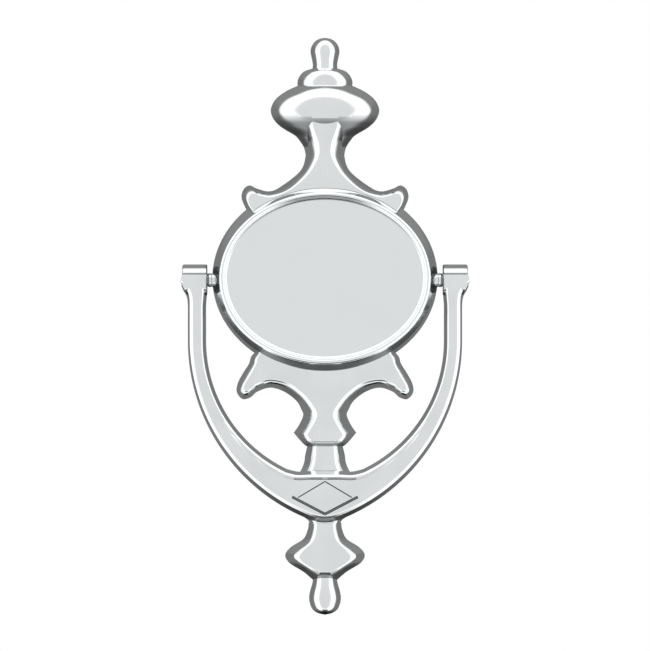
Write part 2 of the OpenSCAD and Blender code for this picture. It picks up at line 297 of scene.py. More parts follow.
def flowing(points: Sequence[Pair], per_span: int = 10) -> Ring:
    """A smooth curve through all the points.

    Args:
        points: The points, in order.
        per_span: Steps from one point to the next.

    Returns:
        The curve's points.
    """
    p = np.array([points[0], *points, points[-1]], float)
    steps = np.linspace(0, 1, per_span, endpoint=False)[:, None]
    spans = []
    for a, b, c, d in zip(p, p[1:], p[2:], p[3:]):
        square, cube = 2 * a - 5 * b + 4 * c - d, 3 * b - a - 3 * c + d
        spans.append(0.5 * (2 * b + (c - a) * steps + square * steps**2 + cube * steps**3))
    return np.vstack([*spans, p[-1:]])


def whole(right: Ring) -> Ring:
    """A closed outline from its right half, listed from top to bottom."""
    left = right[right[:, 0] > 1e-6] * (-1, 1)
    return np.vstack([right[::-1], left])


def by(x: float, z: float, *steps: Pair) -> list[Pair]:
    """Points at the given steps from one corner, (x, z)."""
    return [(x + along, z + up) for along, up in steps]


def squared_off(points: Sequence[Pair]) -> Ring:
    """A closed outline whose flowing right half is squared off to the centre line at both ends."""
    return whole(np.vstack([[(0, points[0][1])], flowing(points), [(0, points[-1][1])]]))


def evenly(line: Ring, pitch: float) -> Ring:
    """The same line with points an even distance apart.

    Args:
        line: The points.
        pitch: The distance wanted.

    Returns:
        The new points, with both ends.
    """
    run = np.concatenate([[0], np.cumsum(np.hypot(*np.diff(line, axis=0).T))])
    at = np.linspace(0, run[-1], max(8, round(run[-1] / pitch)) + 1)
    return np.column_stack([np.interp(at, run, line[:, k]) for k in (0, 1)])


def round_angles(count: int) -> Ring:
    """Angles of a full turn, an even step apart, without the last."""
    return np.linspace(0, 2 * math.pi, count, endpoint=False)


def blurred(values: Ring, reach: int) -> Ring:
    """A closed row of values smoothed over reach places either side."""
    weights = np.exp(-0.5 * (np.arange(-2 * reach, 2 * reach + 1) / max(reach, 1)) ** 2)
    weights /= weights.sum()
    wrapped = np.concatenate([values[-2 * reach :], values, values[: 2 * reach]])
    return np.convolve(wrapped, weights, "valid")


def lowest_near(values: Ring, reach: int) -> Ring:
    """The lowest value within reach places either side, round a closed row."""
    return np.min([np.roll(values, k) for k in range(-reach, reach + 1)], axis=0)


@dataclass
class Outline:
    """A closed outline that knows which way is in, and how far in it can go."""

    points: Ring
    pitch: float = 0.3

    def __post_init__(self) -> None:
        """Works out the outward normals and the room inside each point."""
        p = self.points
        along = np.roll(p, -1, 0) - np.roll(p, 1, 0)
        along /= np.linalg.norm(along, axis=1)[:, None]
        area = np.sum(p[:, 0] * np.roll(p[:, 1], -1) - np.roll(p[:, 0], -1) * p[:, 1])
        out = np.column_stack([along[:, 1], -along[:, 0]]) * np.sign(area)
        out = np.column_stack([blurred(out[:, k], 1) for k in (0, 1)])
        self.out = out / np.linalg.norm(out, axis=1)[:, None]
        gap = p[None] - p[:, None]
        inward = -np.einsum("ijk,ik->ij", gap, self.out)
        square = np.einsum("ijk,ijk->ij", gap, gap)
        ball = np.where(inward > 1e-3, square / np.maximum(2 * inward, 1e-6), 1e3)
        self.room = ball.min(1)

    def moved_in(self, inset: Ring) -> Ring:
        """The outline moved in by a distance of its own at each point."""
        return self.points - self.out * inset[:, None]

    def share(self, wanted: Ring, most: float = 0.88) -> Ring:
        """How much of a wanted inset each point has room for.

        Args:
            wanted: The inset wanted at each point.
            most: The share of the room that may be taken.

        Returns:
            A factor from 0 to 1 for each point, changing gently along the outline.
        """
        factor = np.minimum(1, most * self.room / wanted)
        reach = max(1, round(0.5 / self.pitch))
        factor = blurred(lowest_near(factor, reach), reach)
        for _ in range(80):
            ring = self.moved_in(wanted * factor)
            step, old = np.roll(ring, -1, 0) - ring, np.roll(self.points, -1, 0) - self.points
            bad = np.einsum("ij,ij->i", step, old) < 0.06 * self.pitch**2
            if not bad.any():
                break
            factor = np.where(bad | np.roll(bad, 1), factor * 0.88, factor)
        return factor


# ---------------------------------------------------------------- meshes

UNDERSIDE_PAINTED_SHADE = 0.8  # how far an underside takes the painted shade colour


class Axis(Enum):
    """The axis that a turned piece is turned about."""

    X = "x"
    Y = "y"
    Z = "z"


def at_depth(ring: Ring, depth: Ring | float) -> Ring:
    """Points of an outline at a depth: (x, z) becomes (x, y, z)."""
    return np.column_stack([ring[:, 0], np.broadcast_to(depth, len(ring)), ring[:, 1]])


def oval_ring(half_x: float, half_z: float, centre_z: float, depth: float, count: int) -> Ring:
    """An oval ring square to the depth.

    Args:
        half_x: Half its width.
        half_z: Half its height.
        centre_z: The height of its centre.
        depth: The depth it lies at.
        count: How many points it has.

    Returns:
        Its points.
    """
    angle = round_angles(count)
    return at_depth(np.column_stack([half_x * np.cos(angle), half_z * np.sin(angle) + centre_z]), depth)


def facing_out(mesh: bpy.types.Mesh) -> None:
    """Turns every face of a closed mesh outwards."""
    work = bmesh.new()
    work.from_mesh(mesh)
    bmesh.ops.remove_doubles(work, verts=work.verts, dist=2e-7)
    bmesh.ops.dissolve_degenerate(work, edges=work.edges, dist=2e-7)
    bmesh.ops.recalc_face_normals(work, faces=work.faces)
    if work.calc_volume(signed=True) < 0:
        bmesh.ops.reverse_faces(work, faces=work.faces)
    work.to_mesh(mesh)
    work.free()


def solid(name: str, points: Ring, faces: Iterable[Sequence[int]]) -> bpy.types.Object:
    """A mesh object from points in millimetres.

    Args:
        name: The object's name.
        points: The points.
        faces: The faces, as point numbers.

    Returns:
        The object, in the scene.
    """
    mesh = bpy.data.meshes.new(name)
    mesh.from_pydata([tuple(q) for q in points * MM], [], [tuple(int(i) for i in f) for f in faces])
    facing_out(mesh)
    made = bpy.data.objects.new(name, mesh)
    bpy.context.scene.collection.objects.link(made)
    return made


def lofted(name: str, rings: Sequence[Ring]) -> bpy.types.Object:
    """A closed solid through rings of equal length.

    Args:
        name: The object's name.
        rings: The rings, from one end to the other.

    Returns:
        The solid.
    """
    n, m = len(rings[0]), len(rings)
    faces: list[Sequence[int]] = [range(n), range((m - 1) * n, m * n)]
    for k in range(m - 1):
        for i in range(n):
            j = (i + 1) % n
            faces.append((k * n + i, k * n + j, k * n + n + j, k * n + n + i))
    return solid(name, np.vstack(rings), faces)


def turned(
    name: str,
    profile: Sequence[Pair],
    axis: Axis,
    centre: Sequence[float] = (0, 0, 0),
    count: int = 48,
    hole: float = 0.0,
    radius_at: Callable[[Ring, float, float], Ring] | None = None,
) -> bpy.types.Object:
    """A piece turned about an axis.

    Args:
        name: The object's name.
        profile: (radius, place along the axis) from one end to the other.
        axis: The axis.
        centre: The point that the profile's places are measured from.
        count: Points round the piece.
        hole: The radius of a hole right through, or 0.
        radius_at: Changes a ring's radius by angle, given the angles, radius and place.

    Returns:
        The piece.
    """
    angles = round_angles(count)
    line = list(profile)
    if hole:
        line = [(hole, line[0][1]), *line, (hole, line[-1][1])]
    rings = []
    for radius, place in line:
        r = radius_at(angles, radius, place) if radius_at else np.full(count, radius)
        u, v, w = r * np.cos(angles), r * np.sin(angles), np.full(count, place)
        order = {Axis.X: (w, u, v), Axis.Y: (u, w, v), Axis.Z: (u, v, w)}[axis]
        rings.append(np.column_stack(order) + np.array(centre, float))
    if not hole:
        return lofted(name, rings)
    n, m = count, len(rings)
    faces = [
        (k * n + i, k * n + (i + 1) % n, (k + 1) % m * n + (i + 1) % n, (k + 1) % m * n + i)
        for k in range(m)
        for i in range(n)
    ]
    return solid(name, np.vstack(rings), faces)


def carved(base: bpy.types.Object, tools: Sequence[bpy.types.Object], operation: str) -> bpy.types.Object:
    """Joins solids to a base or cuts them out of it, and removes them.

    Args:
        base: The solid that stays.
        tools: The other solids.
        operation: "UNION" or "DIFFERENCE".

    Returns:
        The base, with its new mesh.
    """
    for tool in tools:
        step = base.modifiers.new("carve", "BOOLEAN")
        step.object, step.operation, step.solver = tool, operation, "MANIFOLD"
    graph = bpy.context.evaluated_depsgraph_get()
    mesh = bpy.data.meshes.new_from_object(base.evaluated_get(graph))
    base.modifiers.clear()
    old, base.data = base.data, mesh
    bpy.data.meshes.remove(old)
    for tool in tools:
        old = tool.data
        bpy.data.objects.remove(tool)
        bpy.data.meshes.remove(old)
    return base


def weld(piece: bpy.types.Object, reach_mm: float = 0.004) -> None:
    """Merges points closer than reach and drops faces with no area."""
    work = bmesh.new()
    work.from_mesh(piece.data)
    bmesh.ops.remove_doubles(work, verts=work.verts, dist=reach_mm * MM)
    bmesh.ops.dissolve_degenerate(work, edges=work.edges, dist=reach_mm * MM / 2)
    work.to_mesh(piece.data)
    work.free()


def face_values(piece: bpy.types.Object, name: str) -> Ring:
    """A three-part value of every face of a mesh: its "center" or its "normal"."""
    values = np.empty(3 * len(piece.data.polygons), np.float32)
    piece.data.polygons.foreach_get(name, values)
    return values.reshape(-1, 3)


def facing_down(piece: bpy.types.Object, start: float, span: float) -> Ring:
    """How far each face looks down: 0 until its normal drops by start, and 1 a span later."""
    return np.clip((-face_values(piece, "normal")[:, 2] - start) / span, 0, 1)


def beneath(piece: bpy.types.Object, reach: float) -> Ring:
    """How much shade is painted on the undersides near the centre line.

    Args:
        piece: The casting.
        reach: How far from the centre line the dark undersides run.

    Returns:
        A value for each face from 0 up to the underside's painted shade limit.
    """
    away = np.abs(face_values(piece, "center")[:, 0]) / MM
    # painted shade: down-facing faces, strongest near the centre line
    return UNDERSIDE_PAINTED_SHADE * facing_down(piece, 0.55, 0.3) * np.clip(2 - 2 * away / reach, 0, 1)


def paint_shade(piece: bpy.types.Object, values: Ring) -> None:
    """Stores how much painted shade each face takes, as a share of the finish's shade colour."""
    marks = piece.data.attributes.new("painted_shade", "FLOAT", "FACE")
    marks.data.foreach_set("value", values.astype(np.float32))


def shaded(piece: bpy.types.Object, sharp_deg: float = 22.0) -> None:
    """Shades a piece smoothly, with crisp edges where faces turn by more than sharp_deg."""
    mesh = piece.data
    mesh.shade_smooth()
    mesh.set_sharp_from_angle(angle=math.radians(sharp_deg))
    steady = piece.modifiers.new("steady_normals", "WEIGHTED_NORMAL")
    steady.mode, steady.weight, steady.keep_sharp = "FACE_AREA", 60, True


# ---------------------------------------------------------------- the knocker's layout


def box_mm(node: str) -> tuple[Vector, Vector, Vector]:
    """A CAD node's lowest corner, highest corner and middle, in millimetres."""
    low, high = (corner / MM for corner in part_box(node))
    return low, high, (low + high) / 2


# Steps between surfaces that the boxes don't give
DRUM_BEHIND_RIM = 3.6
DRUM_ROUND_PLATE = 3.2
FIELD_BEHIND_RIM = 1.6
CAVITY_BEHIND_DRUM = 2.5
BAIL_FACE_TO_PIN = 4.8
PIN_TO_BAIL_BACK = 1.0
BUTTON_HEAD = 1.25
SIDE_PLAY = 0.1
LUG_PAST_PIN = 0.2


@dataclass(frozen=True)
class Layout:
    """Heights, reaches and depths that the CAD boxes give; heights run from the drum's centre."""

    oval_z: float
    plate_x: float
    plate_z: float
    drum_x: float
    drum_z: float
    rim_y: float
    field_y: float
    drum_y: float
    cavity_y: float
    bulb_z: float
    pivot_y: float
    pivot_z: float
    tip_z: float
    boss_z: float
    bail_y: float
    bail_back: float
    lug_out: float
    arm_in: float
    boss_y: float

    @classmethod
    def from_frame(cls) -> "Layout":
        """Reads the boxes of the CAD nodes.

        Returns:
            The layout, in millimetres.
        """
        low, high = {}, {}
        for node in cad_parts:
            low[node], high[node], _ = box_mm(node)
        plate_low, plate_high = low["oval_plate"], high["oval_plate"]
        oval_z = (plate_low.z + plate_high.z) / 2
        rim_y = plate_low.y
        drum_y = rim_y + DRUM_BEHIND_RIM
        middle = {node: (low[node] + high[node]) / 2 for node in low}
        pin = middle["pivot_pin_right"]
        return cls(
            oval_z=oval_z,
            plate_x=plate_high.x,
            plate_z=plate_high.z - oval_z,
            drum_x=high["back_plate"].x - SIDE_PLAY,
            drum_z=plate_high.z - oval_z + DRUM_ROUND_PLATE,
            rim_y=rim_y,
            field_y=rim_y + FIELD_BEHIND_RIM,
            drum_y=drum_y,
            cavity_y=drum_y + CAVITY_BEHIND_DRUM,
            bulb_z=middle["mounting_stud_upper"].z - oval_z,
            pivot_y=pin.y,
            pivot_z=pin.z - oval_z,
            tip_z=low["knocker_bail"].z - oval_z,
            boss_z=middle["striker_stud"].z - oval_z,
            bail_y=pin.y - BAIL_FACE_TO_PIN,
            bail_back=pin.y + PIN_TO_BAIL_BACK,
            lug_out=high["pivot_pin_right"].x + LUG_PAST_PIN,
            arm_in=high["pivot_washer_right"].x + SIDE_PLAY,
            boss_y=low["anvil_button"].y + BUTTON_HEAD,
        )


# The radius on the drum's front edge takes more off its height than its width
FRONT_EDGE_X, EDGE_STRETCH = 0.95, 1.35
FRONT_EDGE_Z = FRONT_EDGE_X * EDGE_STRETCH
RIM_SIDE = 1.0  # from the rim's crest back to the foot of its bead

# How a relief rises from its outline to its face, as (share of the way in, drop below the face)
RELIEF_STEPS = (
    (0.46, 0.46), (0.56, 0.33), (0.66, 0.22), (0.76, 0.125), (0.85, 0.06), (0.93, 0.015), (1.0, 0.0)
)


def relief(
    name: str, outer: Ring, face: Ring, depth: float, lift: float, lean: float = 0.0, fullness: float = 1.0
) -> bpy.types.Object:
    """A cast relief: drafted sides, then a rounded bevel up to a flat face with an outline of its own.

    Args:
        name: The object's name.
        outer: The relief's outline.
        face: The outline of its face, with as many points.
        depth: How far the face stands from the door at its top.
        lift: How far above the drum's centre the outlines' origin lies.
        lean: How much further forward the face comes, per millimetre down from its top.
        fullness: How deep the bevel is, as a share of the usual.

    Returns:
        The solid.
    """
    foot, widest = 1.0, 5.0
    inward = face - outer
    width = np.minimum(np.linalg.norm(inward, axis=1), widest) * fullness
    base = outer + (0, lift)
    rings = [at_depth(base, 0.0), at_depth(base, -foot)]
    for share, drop in RELIEF_STEPS:
        forward = depth + lean * (outer[:, 1].max() - outer[:, 1] - share * inward[:, 1])
        rings.append(at_depth(base + inward * share, width * drop - forward))
    return lofted(name, rings)


# ---------------------------------------------------------------- sub-assemblies


@dataclass
class BackPlate:
    """The long casting: finial, bulb, horned neck, drum, eared neck, boss, bulge and drop."""

    at: Layout
    waist: float = 6.8
    horn_x: float = 29.4
    ear_x: float = 31.2
    collar_drop: float = 20.7
    collar_x: float = 11.0
    boss_x: float = 11.5
    bulb_x: float = 19.1
    bulge_x: float = 14.0
    drop_x: float = 5.6
    bulge_depth: float = 8.5
    bulb_depth: float = 13.6
    swell: float = 0.6
    wall: float = 3.0

    def upper(self) -> tuple[Ring, Ring]:
        """The outline and the face of the neck and horns above the drum."""
        w, h, top, b = self.waist, self.horn_x, self.at.bulb_z, self.at.drum_z
        edge = by(w, top, (1.9, 0.5), (1.6, -6), (1.1, -10), (0.4, -13.2), (0, -17))
        edge += by(w, b, (1.9, 4.2), (8.9, -1.4), (12.9, -3))
        edge += [(h - 5.4, b - 2), (h - 2.9, b - 0.9)]
        edge += by(h, b, (-0.8, -2.2), (0, -5), (-1, -8), (-2.2, -10.4))
        face = by(w, top, (-2.6, -1), (-2.8, -6), (-4.0, -10), (-5.3, -13.4), (-5.1, -17.6))
        face += by(w, b, (-1.4, 2.8), (4.6, -2.4), (11.6, -5.4))
        face += [(h - 6.8, b - 4.9), (h - 4.8, b - 4.2)]
        face += by(h, b, (-3.4, -4.7), (-2.8, -6.3), (-3.5, -8.6), (-5, -10.6))
        end, inner_end = [(h - 8, b - 16), (0, b - 16)], [(h - 9.5, b - 15.5), (0, b - 15.5)]
        return whole(np.vstack([flowing(edge), end])), whole(np.vstack([flowing(face), inner_end]))

    def lower(self) -> tuple[Ring, Ring]:
        """The outline and the face of the ears, neck and pointed collar below the drum."""
        w, e, c, b = self.waist, self.ear_x, self.collar_x, self.at.drum_z
        z = -b - self.collar_drop
        ear = by(e, 0, (-7, 8), (-5.2, 6), (-4.4, 3.5), (-2.2, 0), (-0.4, -3.6), (-0.2, -6.6))
        ear += by(e, 0, (-2.2, -8.9), (-5, -8.3), (-7.4, -6.3), (-12, -4.9))
        ear += [(w + 7.6, -6.3)]
        ear += [(w + 3.4, -9.4), (w + 1.5, -12.6)]
        edge = [(x, up - b) for x, up in ear] + [(w + 0.9, z + 6), (c - 1.8, z + 2.6), (c, z)]
        foot = [(c, z), (c - 2.4, z - 2.9), (w - 0.4, z - 4.8), (w / 2, z - 5.3), (0, z - 5.4)]
        ear_face = by(e, 0, (-9.5, 8), (-8, 6), (-7.3, 3.4), (-5.2, -0.6), (-3.4, -3.4), (-2.9, -4.9))
        ear_face += by(e, 0, (-3.7, -5.6), (-5.2, -4.9), (-7.6, -2.9), (-12, -1.5))
        ear_face += [(w + 5.8, -2.9)]
        ear_face += [(w + 0.4, -6.8), (w - 3.2, -11.2)]
        face = [(x, up - b) for x, up in ear_face]
        face += [(w - 4.6, z + 6.2), (c - 6.8, z + 2), (c - 5.2, z - 0.5)]
        toe = [(c - 5.2, z - 0.5), (c - 5.8, z - 1.7), (w - 2.6, z - 2.3), (w / 2 - 1, z - 2.5), (0, z - 2.5)]
        outer = np.vstack([[(0, 8 - b)], flowing(edge), flowing(foot)[1:]])
        inner = np.vstack([[(0, 8 - b)], flowing(face), flowing(toe)[1:]])
        return whole(outer), whole(inner)

    def boss(self) -> tuple[Ring, Ring]:
        """The outline and the face of the stem and strike boss behind the bail."""
        w, c, t, z = self.waist, -self.at.drum_z - self.collar_drop, self.at.tip_z, self.at.boss_z
        x = self.boss_x
        edge = by(w, c, (-1.6, 2), (-1.2, -2), (-0.5, -5), (0.2, -8), (0.9, -11.6))
        edge += by(x, z, (0, 3), (0, -2), (-3.4, -6.5))
        edge += [(w - 1.4, t - 0.6), (w - 1.8, t - 9)]
        face = by(w, c, (-4.4, 2), (-4.4, -2), (-4.5, -5), (-4.4, -8), (-3.8, -11.6))
        face += by(x, z, (-5.5, 2.5), (-5.5, -1.5), (-6.2, -4.5))
        face += [(w - 4.4, t - 0.4), (w - 4.6, t - 8.6)]
        return squared_off(edge), squared_off(face)

    def bulge(self) -> tuple[Ring, Ring]:
        """The outline and the face of the stem and bulge under the bail."""
        w, u, t = self.waist, self.bulge_x, self.at.tip_z
        edge = [(w - 1, t - 0.4), (w - 0.8, t - 2.5)]
        edge += by(u, t, (-6.4, -6), (-2, -8.9), (0, -11.7))
        edge += [(u - 1.6, t - 14.6), (u - 6.4, t - 17.6), (3.6, t - 21)]
        face = [(w - 4.2, t - 0.4), (w - 4.1, t - 3)]
        face += by(u, t, (-10.2, -6.5), (-6.9, -9.9), (-5.7, -11.9))
        face += [(u - 6.3, t - 13.6), (u - 9.6, t - 15.8), (1.2, t - 17)]
        return squared_off(edge), squared_off(face)

    def finial(self) -> Ring:
        """(half width, height) of the bulb, collar and finial, from bottom to top."""
        w, r = self.waist, self.bulb_x
        cove = by(w, 0, (0, -17), (0.7, -14.2), (2.5, -11.5))
        cove += by(r, 0, (-8.3, -10), (-3.7, -7.2), (-1, -4.4))
        cove += by(r, 0, (0, -1), (-1.7, 2.6), (-5.3, 5.4))
        cove += [(9.8, 7.3)]
        dome = [(9.6, 7.3), (9.7, 8.6), (9.4, 9.8), (8.6, 11.2), (7.2, 12.5), (4.5, 13.4)]
        ball = [(4.4, 13.4), (4.3, 15), (4.8, 17.6), (5.1, 19.4), (4.7, 21.3)]
        ball += [(3.5, 23), (1.9, 23.9), (0.2, 24.2)]
        return np.vstack([flowing(p, 6) for p in (cove, dome, ball)]) + (0, self.at.bulb_z)

    def drop(self) -> Ring:
        """(half width, height) of the drop at the lower end, from bottom to top."""
        d = self.drop_x
        edge = [(0.2, -32.7), (2.6, -32.1), (4.4, -30.8)]
        edge += by(d, 0, (-0.3, -28.8), (0, -26.6), (-0.4, -24.2))
        edge += [(4.5, -21.8), (4.1, -19.4), (4.1, -17)]
        return flowing(edge, 6) + (0, self.at.tip_z)

    def half_turned(self, name: str, profile: Ring, count: int = 56) -> bpy.types.Object:
        """A turned form cut flat at the door side and flattened in depth.

        Args:
            name: The object's name.
            profile: (half width, height) from bottom to top.
            count: Steps round its front.

        Returns:
            The solid.
        """
        angles = np.linspace(0, math.pi, count)
        rings = []
        for half, height in profile:
            depth = self.bulb_depth * (half / self.bulb_x) ** self.swell
            x, y = half * np.cos(angles), -depth * np.sin(angles)
            rings.append(np.column_stack([x, y, np.full(count, height)]) + (0, 0, self.at.oval_z))
        return lofted(name, rings)

    def oval(self, less_x: float, less_z: float, depth: float, count: int = 240) -> Ring:
        """An oval ring inside the drum's outline."""
        a = self.at
        return oval_ring(a.drum_x - less_x, a.drum_z - less_z, a.oval_z, depth, count)

    def drum(self) -> bpy.types.Object:
        """The drum, with a small radius at its front edge."""
        y = self.at.drum_y
        steps = [(0, 0), (0, y + 3.0), (0.1, y + 2.5), (0.45, y + 1.5), (FRONT_EDGE_X, y)]
        return lofted("drum", [self.oval(d, d * EDGE_STRETCH, h) for d, h in steps])

    def cavity(self) -> bpy.types.Object:
        """The hollow behind the drum."""
        w, y = self.wall, self.at.cavity_y
        steps = by(w, 0, (-0.6, 1), (-0.3, 0), (0, -0.4))
        steps += by(w, y, (0.2, 1.2), (0.6, 0.35), (1.4, 0))
        return lofted("cavity", [self.oval(d, d, h) for d, h in steps])

    def pocket(self) -> bpy.types.Object:
        """The room that the oval plate takes in front of the drum."""
        a = self.at
        side_x, side_z, gap = a.drum_x - a.plate_x, a.drum_z - a.plate_z, 0.1
        steps = [(FRONT_EDGE_X - gap, FRONT_EDGE_Z - gap, a.drum_y - 0.02)]
        steps += [(side_x - gap, side_z - gap, a.rim_y + past) for past in (RIM_SIDE, -3.0)]
        return lofted("pocket", [self.oval(x, z, h) for x, z, h in steps])

    def build(self) -> bpy.types.Object:
        """Joins the cast shapes and cuts the hollow.

        Returns:
            The casting.
        """
        a = self.at
        lift = a.oval_z
        body = self.drum()
        upper = relief("upper", *self.upper(), 0.2 - a.drum_y, lift, lean=0.035)
        lower = relief("lower", *self.lower(), -a.drum_y - 0.5, lift)
        boss = relief("boss", *self.boss(), -a.boss_y, lift, fullness=0.65)
        bulge = relief("bulge", *self.bulge(), self.bulge_depth, lift)
        finial = self.half_turned("finial", self.finial())
        drop = self.half_turned("drop", self.drop())
        bosses = []
        for side in (-1, 1):
            centre = (0, a.pivot_y, a.pivot_z + lift)
            line = [(2.45, side * (a.drum_x - 4)), (2.45, side * (a.drum_x + 0.1))]
            bosses.append(turned("pin_boss", line, Axis.X, centre, 32))
        carved(body, [upper, lower, boss, bulge, finial, drop, *bosses], "UNION")
        carved(body, [self.cavity(), self.pocket()], "DIFFERENCE")
        weld(body)
        body.name = body.data.name = "back_plate_casting"
        return body

    def dress(self, piece: bpy.types.Object) -> None:
        """Chromes the front, leaves the door side as cast, and paints shade in the cove under the bulb and on
        undersides near the centre line.
        """
        a = self.at
        dress_with_back(piece, CHROME, lambda y: y > -0.05 or a.cavity_y - 0.2 < y)
        shaded(piece)
        # painted shade: down-facing faces in the cove under the bulb, fading out towards the bulb, plus the
        # painted underside shade near the centre line
        from_bulb = face_values(piece, "center")[:, 2] / MM - a.oval_z - a.bulb_z
        in_cove = (-14 < from_bulb) & (face_values(piece, "normal")[:, 2] < -0.25)
        cove = 0.75 * in_cove * np.clip((-2.6 - from_bulb) / 3.2, 0, 1)
        paint_shade(piece, np.maximum(beneath(piece, 15.0), cove))


def coated(piece: bpy.types.Object, *finishes: Finish) -> None:
    """Gives a piece its finishes, the first on every face until told otherwise."""
    piece.data.materials.clear()
    for finish in finishes:
        piece.data.materials.append(finish.material())


def dress_with_back(piece: bpy.types.Object, front: Finish, is_back: Callable[[float], bool]) -> None:
    """Gives a casting its front finish, and the cast finish to faces turned to the door.

    Args:
        piece: The casting.
        front: The finish of the front.
        is_back: Says of a face's depth whether it may be a back face.
    """
    coated(piece, front, CAST_BACK)
    for face in piece.data.polygons:
        face.material_index = int(face.normal.y > 0.6 and is_back(face.center.y / MM))


@dataclass
class OvalPlate:
    """The plain oval plate with its beaded rim, and the two posts that its screws go into."""

    at: Layout
    count: int = 256
    post: float = 2.6

    def rim(self) -> list[tuple[float, float, float]]:
        """(less half width, less half height, depth) from the back edge over the bead to the field."""
        a = self.at
        crest, field = a.rim_y, a.field_y
        out_x, out_z = a.plate_x - a.drum_x + FRONT_EDGE_X, a.plate_z - a.drum_z + FRONT_EDGE_Z
        outer = [(out_x, out_z, a.drum_y), (0.0, 0.0, crest + RIM_SIDE)]
        bead = by(0, crest, (0.25, 0.62), (0.55, 0.3), (0.9, 0.09), (1.2, 0), (1.45, 0.08))
        cove = by(0, crest, (1.75, 0.35), (2.1, 0.72), (2.45, 1.1), (2.75, 1.4))
        cove += [(3.05, field - 0.06), (3.4, field - 0.015), (3.9, field)]
        return outer + [(d, d, h) for d, h in bead + cove]

    def build(self) -> bpy.types.Object:
        """The plate with its two posts.

        Returns:
            The plate.
        """
        a = self.at
        rings = [
            oval_ring(a.plate_x - less_x, a.plate_z - less_z, a.oval_z, depth, self.count)
            for less_x, less_z, depth in self.rim()
        ]
        plate = lofted("oval_plate_polished", rings)
        posts = []
        for node in ("oval_plate_screw_left", "oval_plate_screw_right"):
            mid = box_mm(node)[2]
            line = [(self.post, a.drum_y - 0.5), (self.post, a.cavity_y - 0.1)]
            posts.append(turned("post", line, Axis.Y, (mid.x, 0, mid.z), 40))
        carved(plate, posts, "UNION")
        weld(plate)
        return plate

    def dress(self, piece: bpy.types.Object) -> None:
        """Chromes the plate and paints shade on the down-facing faces behind the rim's crest."""
        coated(piece, CHROME_OVAL)
        shaded(piece)
        # painted shade: down-facing faces behind the rim's crest, under its lower lip
        behind_rim = face_values(piece, "center")[:, 1] / MM > self.at.rim_y + RIM_SIDE
        paint_shade(piece, UNDERSIDE_PAINTED_SHADE * facing_down(piece, 0.15, 0.4) * behind_rim)


